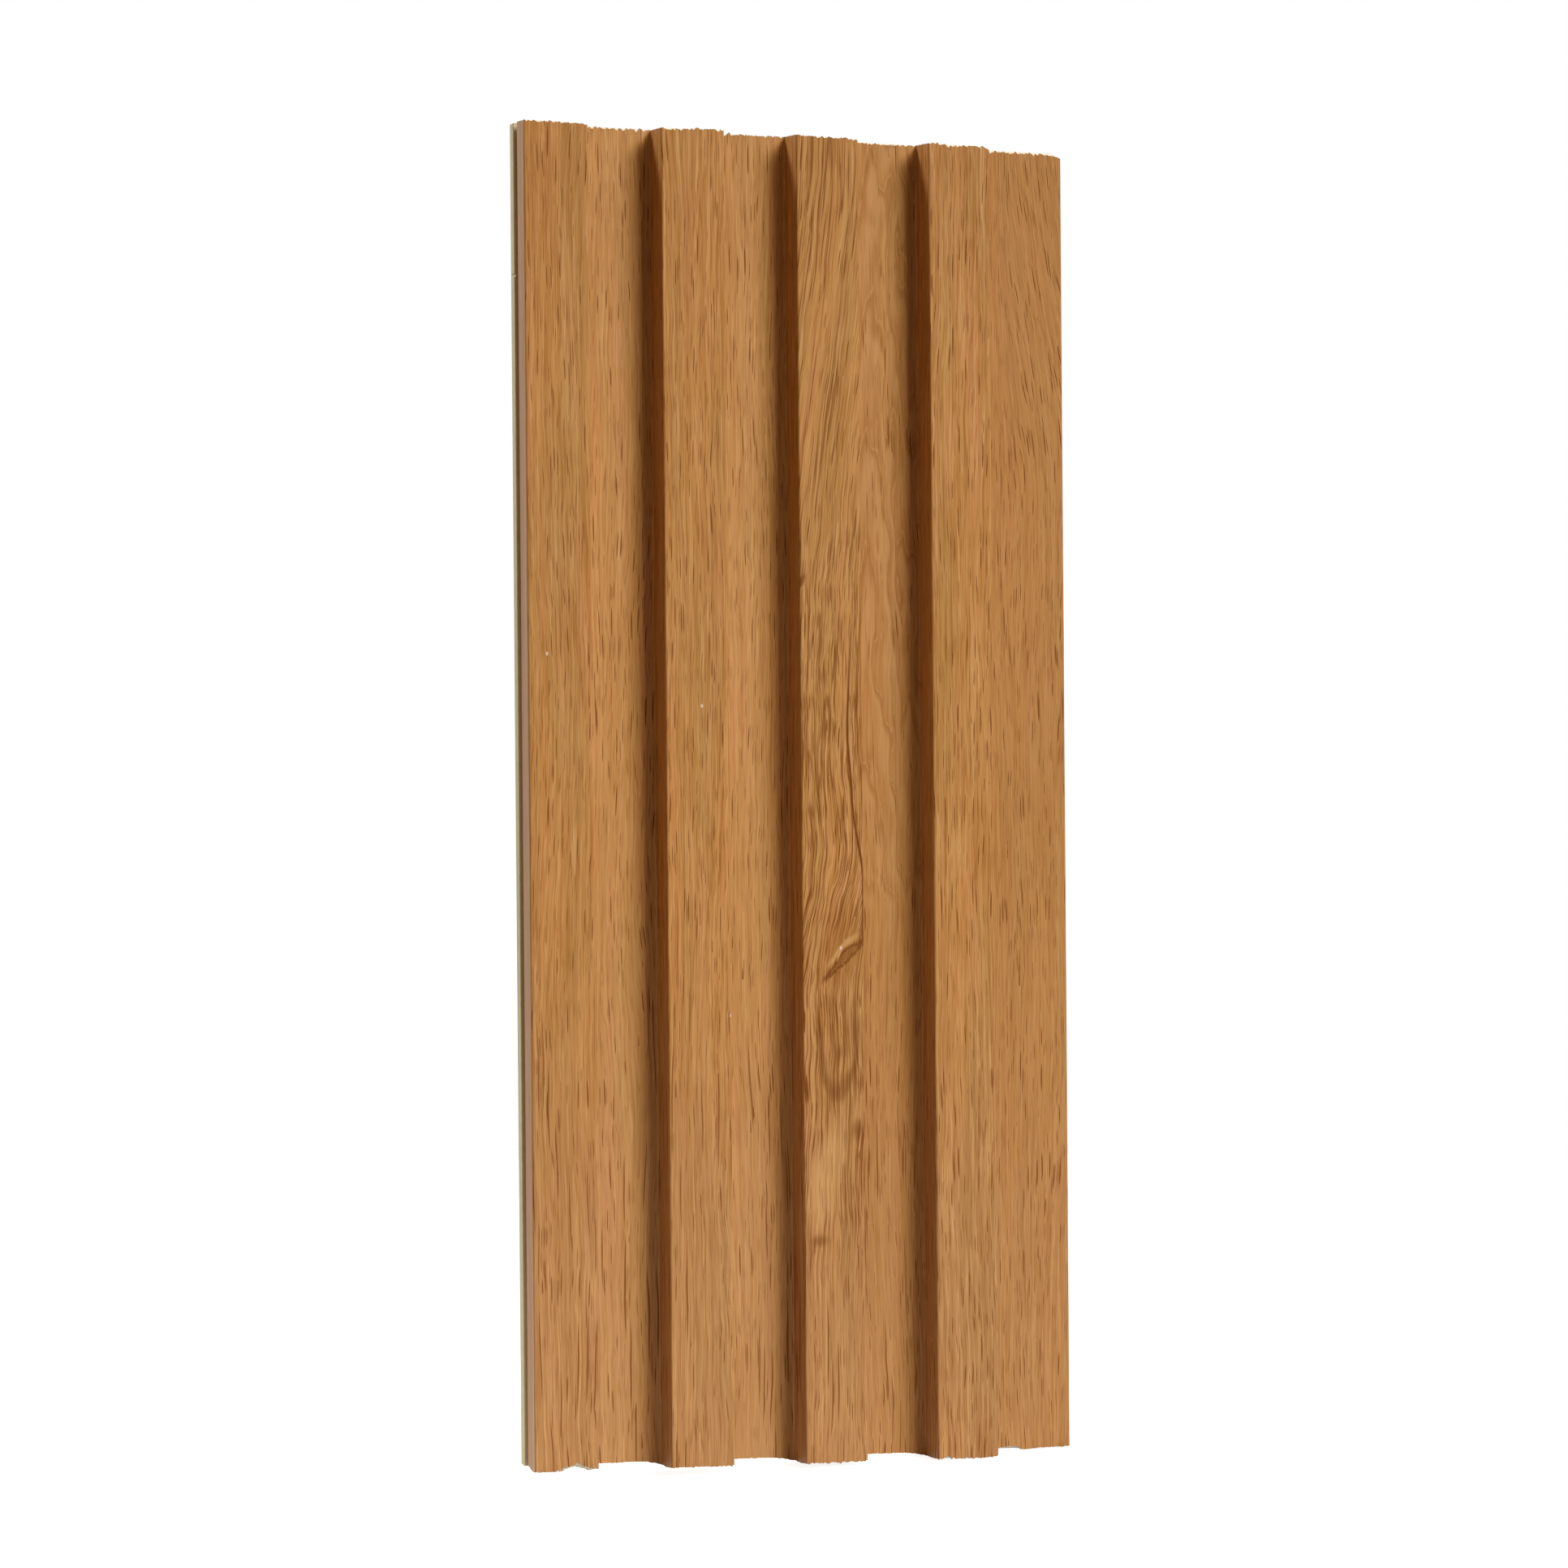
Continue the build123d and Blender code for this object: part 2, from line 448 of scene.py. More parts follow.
def makeCore():
    corners = coreCorners()
    piece = drawOutline("foamCore", corners + corners[:1])
    bpy.ops.mesh.select_all(action="SELECT")
    bpy.ops.mesh.remove_doubles(threshold=0.001 * mm)
    skin = section["film"]
    isFoot = lambda x, y: abs(y - floorY - skin) < slack and pastGroove < x < rightX
    isEdge = lambda x, y: y < floorY and not isFoot(x, y) and (
        y < frontY + skin + slack or abs(x - lipX - skin) < slack
    )
    isTip = lambda x, y: abs(x - tipX + skin) < slack and y < floorY + skin + slack
    isBare = lambda x, y: abs(y) < slack and abs(x) > rightX - 1 or (
        x < pastGroove and section["grooveFrontY"] + slack < y < -slack
    )
    roundCorners(piece, section["footRadius"] + skin, isFoot)
    roundCorners(piece, section["edgeRadius"] - skin, lambda x, y: isEdge(x, y) or isTip(x, y))
    roundCorners(piece, section["coreRadius"], isBare, segments=3)
    divideOutline(piece, coreRows["spacing"])
    bpy.ops.mesh.edge_face_add()
    step = coreRows["grid"]
    for cut in range(int((tipX - leftX) / step)):
        bpy.ops.mesh.select_all(action="SELECT")
        place = ((leftX + (cut + 0.5) * step) * mm, 0, 0)
        bpy.ops.mesh.bisect(plane_co=place, plane_no=(1, 0, 0))
    for cut in range(int(-frontY / step)):
        bpy.ops.mesh.select_all(action="SELECT")
        place = (0, -(cut + 0.75) * step * mm, 0)
        bpy.ops.mesh.bisect(plane_co=place, plane_no=(0, 1, 0))
    nickRows = [lipNick["height"] + lipNick["size"] * t for t in lipNick["rows"]]
    raiseOutline(piece, rowsAlong(coreRows["near"], coreRows["middle"], nickRows))
    bpy.ops.mesh.select_all(action="SELECT")
    bpy.ops.mesh.normals_make_consistent(inside=False)
    bpy.ops.object.mode_set(mode="OBJECT")
    piece.data.materials.append(foamSkin())
    piece.data.materials.append(sawnFoam())
    for face in piece.data.polygons:
        fromEnd = halfLength - abs(face.center.z) / mm
        torn = fromEnd < coreRows["tornRim"][0] and face.center.y / mm < floorY + coreRows["tornRim"][1]
        face.material_index = 1 if abs(face.normal.z) > 0.5 or torn else 0
    for vertex in piece.data.vertices:
        inNick = abs(vertex.co.z / mm - lipNick["height"]) < lipNick["size"] * 0.3
        if inNick and vertex.co.x < (leftX + lipNick["lipEdge"]) * mm:
            deep = (-vertex.co.y / mm - lipNick["startsAt"]) / lipNick["deepensOver"]
            vertex.co.x += lipNick["depth"] * min(max(deep, 0), 1) * mm
    breakEnds(piece)
    return piece


# node trees

def newMaterial(name):
    material = bpy.data.materials.new(name)
    material.use_nodes = True
    tree = material.node_tree
    tree.nodes.clear()
    return material, tree


def put(tree, kind, inputs=(), **settings):
    # adds a node, sets it, and links or fills its inputs
    node = tree.nodes.new("ShaderNode" + kind)
    for name, value in settings.items():
        setattr(node, name, value)
    for name, value in dict(inputs).items():
        if isinstance(value, bpy.types.NodeSocket):
            tree.links.new(value, node.inputs[name])
        else:
            node.inputs[name].default_value = value
    return node


def calc(tree, operation, a, b=0.0):
    return put(tree, "Math", {0: a, 1: b}, operation=operation).outputs[0]


def fade(tree, value, low, high, start=0.0, end=1.0):
    # a smooth step from start to end while the value goes from low to high
    inputs = {"Value": value, "From Min": low, "From Max": high, "To Min": start, "To Max": end}
    return put(tree, "MapRange", inputs, interpolation_type="SMOOTHSTEP").outputs[0]


def tint(tree, factor, a, b):
    # colour a where the factor is 0, colour b where it is 1
    return put(tree, "Mix", {0: factor, 6: a, 7: b}, data_type="RGBA").outputs[2]


def at(tree, x, y, z=0.0):
    return put(tree, "CombineXYZ", {0: x, 1: y, 2: z}).outputs[0]


def times(tree, *values):
    result = values[0]
    for value in values[1:]:
        result = calc(tree, "MULTIPLY", result, value)
    return result


def plus(tree, *values):
    result = values[0]
    for value in values[1:]:
        result = calc(tree, "ADD", result, value)
    return result


def most(tree, *values):
    result = values[0]
    for value in values[1:]:
        result = calc(tree, "MAXIMUM", result, value)
    return result


def farFrom(tree, value, middle):
    # how far the value is from the middle, either way
    return calc(tree, "ABSOLUTE", calc(tree, "SUBTRACT", value, middle))


def grainy(tree, place, scale, detail):
    # noise in the piece's own space; three scales stretch it along the axes
    if isinstance(scale, tuple):
        place = put(tree, "Mapping", {"Vector": place, "Scale": scale}).outputs[0]
        scale = 1.0
    return put(tree, "TexNoise", {"Vector": place, "Scale": scale, "Detail": detail}).outputs[0]


def surface(tree, base, roughness, relief, bump, specular, depth=1.0):
    # the shader with a bump from the relief, whose depth is in mm, and the output
    bumped = put(tree, "Bump", {"Height": relief, "Distance": depth * mm, "Strength": bump})
    shader = put(tree, "BsdfPrincipled", {
        "Base Color": base,
        "Roughness": roughness,
        "Specular IOR Level": specular,
        "Normal": bumped.outputs[0],
    })
    finishTree(tree, shader, "OutputMaterial")


def finishTree(tree, shader, kind):
    # links the shader to an output of that kind
    out = put(tree, kind)
    tree.links.new(shader.outputs[0], out.inputs[0])


def seenByEye(tree):
    # 1 for rays from the camera, also after a mirror or glass, and 0 for light on the object
    rays = put(tree, "LightPath").outputs
    return most(tree, rays["Is Camera Ray"], rays["Is Transmission Ray"], rays["Is Glossy Ray"])


def colour(red, green, blue):
    # a colour as seen on a screen, from 0 to 255, as the shader wants it
    def linear(c):
        c /= 255
        return c / 12.92 if c <= 0.04045 else ((c + 0.055) / 1.055) ** 2.4
    return (linear(red), linear(green), linear(blue), 1.0)


# the print on the film, and the light and shade painted on it: its colours as seen on a screen, from 0 to
# 255
oak = {
    "ground": (189, 134, 74),
    "olive": (179, 131, 73),
    "pink": (194, 135, 84),
    "paintedLowLight": (164, 125, 90),         # painted light low on the panel: greyer and darker, as light from the floor falls there
    "pale": (206, 161, 106),
    "line": (146, 92, 32),
    "vessel": (116, 63, 12),
    "knot": (108, 57, 12),
    "paintedSheen": (186, 147, 114),       # painted sheen on the first slat's outer wall
    "paintedSheenDark": (166, 126, 91),
    "speck": (225, 215, 205),
    "roughness": 0.5,
    "specular": 0.12,
}

# its noises: how fast they change across and along the grain, per mm, then detail, roughness, seed
grainNoise = {
    "wander": (0.05, 0.009, 1.0, 0.5, 0.0),
    "ripple": (0.3, 0.05, 1.0, 0.5, 3.0),
    "curl": (0.13, 0.08, 1.0, 0.5, 8.0),
    "field": (0.14, 0.012, 2.0, 0.5, 1.0),
    "blush": (0.3, 0.016, 2.0, 0.5, 5.0),
    "shade": (0.75, 0.012, 3.0, 0.6, 2.0),
    "fibre": (2.3, 0.045, 2.0, 0.55, 4.0),
    "hair": (4.8, 0.1, 1.0, 0.5, 14.0),
    "thread": (1.15, 0.016, 2.0, 0.65, 15.0),
    "crowd": (0.2, 0.02, 2.0, 0.5, 7.0),
    "pore": (3.1, 0.17, 0.0, 0.5, 12.0),
    "outer": (1.1, 0.012, 2.0, 0.5, 9.0),
}

# its vessels: cells per mm across and along the grain, the thinnest and thickest reach, seed
vessels = {
    "large": (1.4, 0.05, 0.08, 0.2, 0.0),
    "small": (2.3, 0.085, 0.1, 0.25, 13.0),
    "long": (0.85, 0.017, 0.12, 0.22, 21.0),
}

# the figures on the third slat, in mm: place along the film and up the panel, and half size
figures = {
    "knot": {"place": (slat3 + 9.8, -34.2), "size": (5.6, 1.25)},
    "aboveKnot": {"place": (slat3 + 9.2, -32.0), "size": (4.8, 1.1)},
    "halo": {"place": (slat3 + 9.5, -33), "size": (8.5, 13)},
    "loop": {"place": (slat3 + 7.9, -49), "size": (4.6, 14)},
    "blob": {"place": (slat3 + 12.2, -72), "size": (1.2, 2.6)},
    "lowSpot": {"place": (slat3 + 3.6, -96), "size": (2.4, 1.4)},
    "topSpot": {"place": (slat3 + 0.6, 47), "size": (0.8, 2.0), "lean": 0.3},
    "smooth": {"place": (slat3 + 5, -82), "size": (4.5, 13), "lean": 0.25},
}
specks = {
    "places": ((4.2, 31.3), (54.0, 20.0), (60.0, -46.6), (slat3 + 8.8, -32.6)),
    "size": (0.32, 0.5),
}


def streaks(tree, name, s, z):
    # one of the print's noises, drawn out along the grain, from about 0 to 1
    perS, perZ, detail, rough, seed = grainNoise[name]
    where = at(tree, times(tree, s, perS), times(tree, z, perZ), seed)
    inputs = {"Vector": where, "Scale": 1.0, "Detail": detail, "Roughness": rough}
    return put(tree, "TexNoise", inputs).outputs[0]


def dashes(tree, name, s, z, density):
    # dark vessels: one stretched cell each, some of them left out
    perS, perZ, thin, thick, seed = vessels[name]
    across = plus(tree, times(tree, s, perS), seed)
    where = at(tree, across, plus(tree, times(tree, z, perZ), seed * 0.7))
    cell = put(tree, "TexVoronoi", {"Vector": where, "Scale": 1.0}, voronoi_dimensions="2D")
    chance = put(tree, "SeparateColor", {0: cell.outputs["Color"]})
    reach = put(tree, "MapRange", {"Value": chance.outputs[1], "To Min": thin, "To Max": thick}).outputs[0]
    inside = calc(tree, "SUBTRACT", 1.0, calc(tree, "DIVIDE", cell.outputs["Distance"], reach))
    present = calc(tree, "LESS_THAN", chance.outputs[0], density)
    return times(tree, fade(tree, inside, 0.0, 0.3), present)


def nearSpot(tree, s, z, place, size, lean=0.0):
    # distance from a spot, 1 at its rim; lean tips it, in mm of s for each mm of height
    away = calc(tree, "SUBTRACT", z, place[1])
    side = calc(tree, "SUBTRACT", s, place[0])
    side = calc(tree, "SUBTRACT", side, times(tree, away, lean))
    spread = at(tree, calc(tree, "DIVIDE", side, size[0]), calc(tree, "DIVIDE", away, size[1]))
    return put(tree, "VectorMath", {0: spread}, operation="LENGTH").outputs["Value"]


def layColour(tree, base, share, name):
    # lays one of the oak's colours over the base: the print, and in places painted light and shade
    return tint(tree, share, base, colour(*oak[name]))


def readGrain(tree):
    # where a point lies on the print, in mm along the film and up the panel, and how the grain runs
    place = put(tree, "Attribute", attribute_name="grainPlace").outputs["Vector"]
    parts = put(tree, "SeparateXYZ", {0: place})
    s, z = parts.outputs[0], parts.outputs[1]
    grain = SimpleNamespace(s=s, z=z)
    starts = fade(tree, s, slat3 - 0.6, slat3 - 0.2)
    ends = fade(tree, s, slat3 + 14.8, slat3 + 14.3)
    grain.onSlat3 = times(tree, starts, ends)
    grain.wild = times(tree, grain.onSlat3, fade(tree, z, 76, 40), fade(tree, z, -112, -84))
    beforeSlat4 = fade(tree, s, 3 * repeat - 2, 3 * repeat - 20)
    grain.calm = times(tree, fade(tree, z, 0, -80), beforeSlat4)     # low on the first three slats

    # the grain wanders, leans where the slat is figured, and leans back high on the last slat
    for name in ("wander", "ripple", "curl"):
        setattr(grain, name, plus(tree, streaks(tree, name, s, z), -0.5))
    lean = plus(tree, fade(tree, z, 20, 150, 0.0, -11.0), fade(tree, z, -42, -10, 0.0, -6.0))
    leanLast = fade(tree, z, 60, 150, 0.0, 9.0)
    grain.flow = plus(
        tree, s,
        times(tree, grain.wander, 6.0),
        grain.ripple,
        times(tree, grain.curl, plus(tree, 0.6, grain.wild)),
        times(tree, lean, grain.onSlat3),
        times(tree, leanLast, fade(tree, s, 160, 168)),
    )
    return grain


def drawFields(tree, grain):
    # broad fields of colour with painted light low on the panel and painted shade high on it, then
    # streaks, then fibres
    z = grain.z
    for name in ("field", "blush", "shade", "fibre", "hair"):
        setattr(grain, name, streaks(tree, name, grain.flow, z))
    base = layColour(tree, colour(*oak["olive"]), fade(tree, grain.field, 0.35, 0.65), "ground")
    base = layColour(tree, base, fade(tree, grain.blush, 0.48, 0.72, 0.0, 0.7), "pink")
    # painted light: greyer and darker towards the bottom, as light from the floor falls there
    base = layColour(tree, base, fade(tree, z, -10, -125, 0.0, 0.5), "paintedLowLight")
    # painted shade: darker towards the top of the panel
    base = layColour(tree, base, fade(tree, z, 60, 135, 0.0, 0.21), "line")
    base = layColour(tree, base, fade(tree, grain.shade, 0.5, 0.75, 0.0, 0.42), "pale")
    base = layColour(tree, base, fade(tree, grain.shade, 0.5, 0.25, 0.0, 0.24), "line")
    strength = plus(tree, 0.55, times(tree, grain.calm, -0.2))
    base = layColour(tree, base, times(tree, fade(tree, grain.fibre, 0.5, 0.72), strength), "pale")
    base = layColour(tree, base, times(tree, fade(tree, grain.fibre, 0.5, 0.28), strength), "line")
    return layColour(tree, base, fade(tree, grain.hair, 0.5, 0.28, 0.0, 0.4), "line")


def drawThreads(tree, grain, base):
    # long threads: pale ones everywhere, dark ones close together where the slat is figured
    s, z = grain.s, grain.z
    thread = streaks(tree, "thread", grain.flow, z)
    base = layColour(tree, base, fade(tree, farFrom(tree, thread, 0.6), 0.035, 0.0, 0.0, 0.5), "pale")

    # the figured slat is duller at its upper left, along a slanting border
    border = plus(tree, s, times(tree, z, -0.11), times(tree, grain.ripple, 5.0), 1.0 - slat3)
    grain.dull = times(tree, fade(tree, border, 1.6, -1.6), grain.onSlat3, fade(tree, z, 15, 60))
    base = layColour(tree, base, times(tree, grain.dull, 0.2), "olive")
    darkThread = fade(tree, farFrom(tree, thread, 0.45), 0.05, 0.0)
    strength = plus(tree, 0.24, times(tree, most(tree, grain.dull, grain.wild), 0.66))
    return layColour(tree, base, times(tree, darkThread, strength), "vessel")


def drawRecesses(tree, grain, base):
    # the recesses get painted light, a little lighter than the slats, for light bounced off the walls
    # beside them; the last two are duller, most of all high up
    s = grain.s
    along = calc(tree, "MODULO", plus(tree, s, 2 * repeat), repeat)
    afterWall = fade(tree, along, repeat - 24, repeat - 23)
    beforeWall = fade(tree, along, repeat - 7, repeat - 8)
    onTongue = fade(tree, s, 3 * repeat + 36, 3 * repeat + 37)
    recess = times(tree, afterWall, most(tree, beforeWall, onTongue))
    # painted light: the recess floors lighter, for light bounced off the walls beside them
    base = layColour(tree, base, times(tree, recess, 0.22), "pale")
    lastTwo = fade(tree, s, slat3 + 16, slat3 + 20, 0.0, 0.3)
    duller = times(tree, recess, lastTwo, fade(tree, grain.z, -130, 20, 0.6, 1.0))
    return layColour(tree, base, duller, "line")


def drawRings(tree, grain, base):
    # growth rings: nested arches on the recess beside the figured slat, each dark at its upper rim
    s, z = grain.s, grain.z
    middle = plus(tree, s, times(tree, grain.ripple, 5.0), times(tree, z, -0.02), -slat3 - 25.0)
    bow = calc(tree, "SQRT", plus(tree, times(tree, middle, middle), 1.0))
    arch = plus(
        tree, times(tree, z, 0.032), times(tree, bow, 0.24),
        times(tree, grain.wander, 1.2), times(tree, grain.ripple, 1.6),
        times(tree, grain.fibre, 0.22), times(tree, grain.hair, 0.12),
    )
    ring = calc(tree, "FRACT", plus(tree, arch, 20.0))
    onRecess = times(tree, fade(tree, s, slat3 + 16, slat3 + 22), fade(tree, s, slat3 + 42, slat3 + 38))
    grain.ringed = times(tree, onRecess, fade(tree, z, -45, -5))
    base = layColour(tree, base, times(tree, fade(tree, ring, 0.0, 0.6, 0.0, 0.42), grain.ringed), "pale")
    rim = times(tree, fade(tree, ring, 0.62, 0.9), fade(tree, ring, 1.0, 0.9), 0.5)
    return layColour(tree, base, times(tree, plus(tree, rim, 0.12), grain.ringed), "line")


def drawVessels(tree, grain, base):
    # dark pores in the grain, fewer where it is calm, dull or ringed
    z, flow = grain.z, grain.flow
    crowded = plus(
        tree, fade(tree, streaks(tree, "crowd", grain.s, z), 0.38, 0.62, 0.3, 0.7),
        times(tree, grain.wild, 0.15),
        times(tree, plus(tree, grain.ringed, grain.dull), -0.3),
        times(tree, grain.calm, -0.2),
    )
    grain.large = dashes(tree, "large", flow, z, crowded)
    small = times(tree, dashes(tree, "small", flow, z, crowded), 0.7)
    long = times(tree, dashes(tree, "long", flow, z, 0.6), grain.calm, 0.9)
    fine = fade(tree, streaks(tree, "pore", flow, z), 0.55, 0.74)
    fine = times(tree, fine, plus(tree, 0.2, times(tree, grain.wild, 0.5)))
    grain.pores = most(tree, grain.large, small, fine, long)
    return layColour(tree, base, times(tree, grain.pores, 0.92), "vessel")


def crackLine(tree, grain):
    # a bent dark line down the right of the figured slat, which ends at the knot
    z = grain.z
    bent = plus(
        tree, slat3 + 11.7,
        fade(tree, z, 30, 4, 0.0, -0.3),
        fade(tree, z, 2, -18, 0.0, 2.5),
        fade(tree, z, 14, 1, 0.0, 1.0),
        fade(tree, z, 44, 14, 0.0, -0.9),
        times(tree, grain.ripple, 0.8),
    )
    reach = times(tree, fade(tree, z, 48, 20), fade(tree, z, -34, -30))
    return times(tree, fade(tree, farFrom(tree, grain.s, bent), 0.42, 0.08), reach)


def drawFigures(tree, grain, base):
    # on the figured slat: the crack, the knot with its pale upper side, the swirls under it, spots
    s, z = grain.s, grain.z
    tipped = plus(
        tree, z,
        times(tree, calc(tree, "SUBTRACT", s, slat3 + 9.6), -0.95),
        times(tree, grain.curl, 3.5),
        times(tree, grain.fibre, 1.6),
    )
    fromKnot = nearSpot(tree, s, tipped, **figures["knot"])
    knotRim = fade(tree, farFrom(tree, fromKnot, 0.72), 0.4, 0.05, 0.0, 0.8)
    knot = most(tree, knotRim, fade(tree, fromKnot, 0.9, 0.4, 0.0, 0.4))
    above = fade(tree, nearSpot(tree, s, tipped, **figures["aboveKnot"]), 1.1, 0.3, 0.0, 0.6)
    halo = fade(tree, nearSpot(tree, s, z, **figures["halo"]), 1.0, 0.2, 0.0, 0.45)
    bowed = plus(tree, s, times(tree, grain.curl, 4.0))
    loop = nearSpot(tree, bowed, plus(tree, z, times(tree, grain.ripple, 8.0)), **figures["loop"])
    outerTurn = fade(tree, farFrom(tree, loop, 1.0), 0.24, 0.03)
    innerTurn = fade(tree, farFrom(tree, loop, 0.5), 0.2, 0.0, 0.0, 0.6)
    swirl = times(tree, most(tree, outerTurn, innerTurn), fade(tree, z, -42, -52), 0.55)
    blob = fade(tree, nearSpot(tree, bowed, z, **figures["blob"]), 1.3, 0.2, 0.0, 0.55)
    curled = plus(tree, z, times(tree, grain.curl, 4.0))
    lowSpot = fade(tree, nearSpot(tree, s, curled, **figures["lowSpot"]), 1.3, 0.2, 0.0, 0.5)
    topSpot = fade(tree, nearSpot(tree, s, z, **figures["topSpot"]), 1.1, 0.4, 0.0, 0.7)
    smooth = fade(tree, nearSpot(tree, bowed, z, **figures["smooth"]), 1.1, 0.5, 0.0, 0.45)
    figure = most(tree, crackLine(tree, grain), knot, swirl, blob, lowSpot, topSpot)
    onFace = times(tree, fade(tree, s, slat3 - 0.6, slat3), fade(tree, s, slat3 + 15.5, slat3 + 14.1))
    for share, name in ((smooth, "pale"), (halo, "line"), (above, "pale"), (figure, "knot")):
        base = layColour(tree, base, times(tree, share, onFace), name)
    return base


def drawSpecks(tree, grain, base):
    # a few pale specks of dust
    away = [nearSpot(tree, grain.s, grain.z, place, specks["size"]) for place in specks["places"]]
    shown = most(tree, *(fade(tree, distance, 1.0, 0.6) for distance in away))
    return layColour(tree, base, times(tree, shown, 0.7), "speck")


def drawOuterWallSheen(tree, grain, base):
    # the first slat's outer wall is paler and greyer, a painted sheen of grazing light, with the print
    # drawn thin in it
    share = times(tree, fade(tree, grain.s, -0.15, -0.75), 0.92)
    drawn = fade(tree, streaks(tree, "outer", grain.s, grain.z), 0.35, 0.65)
    return tint(tree, share, base, layColour(tree, colour(*oak["paintedSheenDark"]), drawn, "paintedSheen"))


def oakPrintAndPaintedLight():
    material, tree = newMaterial("oakPrintAndPaintedLight")
    grain = readGrain(tree)
    base = drawFields(tree, grain)
    for draw in (drawThreads, drawRecesses, drawRings, drawVessels):
        base = draw(tree, grain, base)
    for draw in (drawFigures, drawSpecks, drawOuterWallSheen):
        base = draw(tree, grain, base)
    relief = plus(tree, times(tree, grain.large, -0.05), times(tree, grain.fibre, 0.03))
    dullPores, dullFibre = times(tree, grain.pores, 0.2), times(tree, grain.fibre, 0.1)
    gloss = plus(tree, oak["roughness"] - 0.05, dullPores, dullFibre)
    surface(tree, base, gloss, relief, 0.8, oak["specular"])
    return material


# the film's own cut edge, a little redder than its print
cutEdge = {"dark": (150, 96, 66), "pale": (196, 148, 112), "grit": 2600.0, "depth": 0.04}


def filmEdge():
    material, tree = newMaterial("filmEdge")
    place = put(tree, "TexCoord").outputs["Object"]
    grit = grainy(tree, place, cutEdge["grit"], 2.0)
    base = tint(tree, fade(tree, grit, 0.35, 0.7), colour(*cutEdge["dark"]), colour(*cutEdge["pale"]))
    surface(tree, base, 0.6, grit, 0.6, oak["specular"], cutEdge["depth"])
    return material


# the foam's colours, and the scales of its textures per metre
foam = {
    "skin": (218, 209, 176),
    "skinDark": (196, 187, 150),
    "groove": (196, 152, 100),              # painted shade: the brown of light bounced off the film inside the groove
    "cell": (236, 230, 212),
    "cellDark": (202, 191, 162),
    "specular": 0.2,
    "dieLines": (1800.0, 1800.0, 14.0),     # drawn out along the panel by the die
    "mottle": 420.0,
    "cells": 3600.0,
    "clumps": 900.0,
    "sawMarks": (60.0, 2400.0, 60.0),
}


def grooveShadeMask(tree, place):
    # where the groove gets painted shade: 1 on its walls, behind the film's edge and in from the mouth
    sides = put(tree, "SeparateXYZ", {0: place})
    x, y = sides.outputs[0], sides.outputs[1]
    backY = section["grooveBackY"]
    inMouth = fade(tree, x, (leftX + 0.5) * mm, (leftX + 0.9) * mm)
    beforeLip = fade(tree, y, (backY + 0.1) * mm, (backY - 0.1) * mm)
    nearMouth = fade(tree, x, (pastGroove + 1) * mm, pastGroove * mm)
    return times(tree, inMouth, beforeLip, nearMouth)


def foamSkin():
    # the smooth skin that leaves the die, with faint lines along it
    material, tree = newMaterial("foamSkin")
    place = put(tree, "TexCoord").outputs["Object"]
    lines = grainy(tree, place, foam["dieLines"], 3.0)
    mottle = grainy(tree, place, foam["mottle"], 3.0)
    mixed = plus(tree, times(tree, lines, 0.6), times(tree, mottle, 0.4))
    base = tint(tree, fade(tree, mixed, 0.3, 0.7), colour(*foam["skinDark"]), colour(*foam["skin"]))
    # painted shade: the groove's walls browner, as light off the film falls there
    grooveShade = times(tree, grooveShadeMask(tree, place), 0.75)
    base = tint(tree, grooveShade, base, colour(*foam["groove"]))
    relief = plus(tree, times(tree, lines, 0.05), times(tree, mottle, 0.04))
    gloss = plus(tree, 0.48, times(tree, mottle, 0.15))
    surface(tree, base, gloss, relief, 0.7, foam["specular"])
    return material


def sawnFoam():
    # cut cells with darker pits and the saw's marks
    material, tree = newMaterial("sawnFoam")
    place = put(tree, "TexCoord").outputs["Object"]
    cells = put(tree, "TexVoronoi", {"Vector": place, "Scale": foam["cells"]}).outputs["Distance"]
    clumps = grainy(tree, place, foam["clumps"], 3.0)
    marks = grainy(tree, place, foam["sawMarks"], 2.0)
    pits = fade(tree, cells, 0.55, 0.15)
    pitted = times(tree, pits, fade(tree, clumps, 0.35, 0.65))
    base = tint(tree, pitted, colour(*foam["cell"]), colour(*foam["cellDark"]))
    base = tint(tree, fade(tree, marks, 0.55, 0.8, 0.0, 0.35), base, colour(*foam["cellDark"]))
    relief = plus(tree, times(tree, pits, -0.1), times(tree, clumps, 0.08), times(tree, marks, 0.05))
    surface(tree, base, 0.85, relief, 0.9, foam["specular"])
    return material


# the pieces

film = makeFilm()
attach(film, "root")
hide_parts("decor_film")
print("film made:", len(film.data.polygons), "faces")

core = makeCore()
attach(core, "root")
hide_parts("panel_core")
print("core made:", len(core.data.polygons), "faces")

# studio: a pale floor, a white world, a large soft key and a small lamp high behind; the key's
# left half is warm and its right half cool, so that the edges of its shadows are warm
studio = {
    "white": (1.0, 1.0, 1.0, 1.0),
    "black": (0.0, 0.0, 0.0, 1.0),
    "floorRadius": 0.75,
    "floorFade": (0.1, 0.3),        # from near the panel to far from it, in m
    "floorTone": (0.75, 0.1),       # its albedo near the panel and far from it
    "floorGlow": (0.85, 1.0),       # what the camera sees added near the panel and far from it
    "world": 0.15,                  # its light on the panel, and the colour of that light
    "warmth": (1.0, 0.54, 0.1, 1.0),
    "lamps": {
        "keyWarm": {
            "towards": (0.58, -1.0, 0.8), "distance": 3.6, "aside": -0.4, "aim": 0.0,
            "size": (0.8, 1.6), "power": 72.0, "tone": (1.0, 0.93, 0.76),
        },
        "keyCool": {
            "towards": (0.58, -1.0, 0.8), "distance": 3.6, "aside": 0.4, "aim": 0.0,
            "size": (0.8, 1.6), "power": 89.0, "tone": (0.81, 0.86, 1.0),
        },
        "high": {
            "towards": (-1.5, 1.0, 1.61), "distance": 1.8, "aside": 0.0, "aim": 0.14,
            "size": (0.45, 0.45), "power": 23.0, "tone": (1.0, 1.0, 1.0),
        },
    },
}


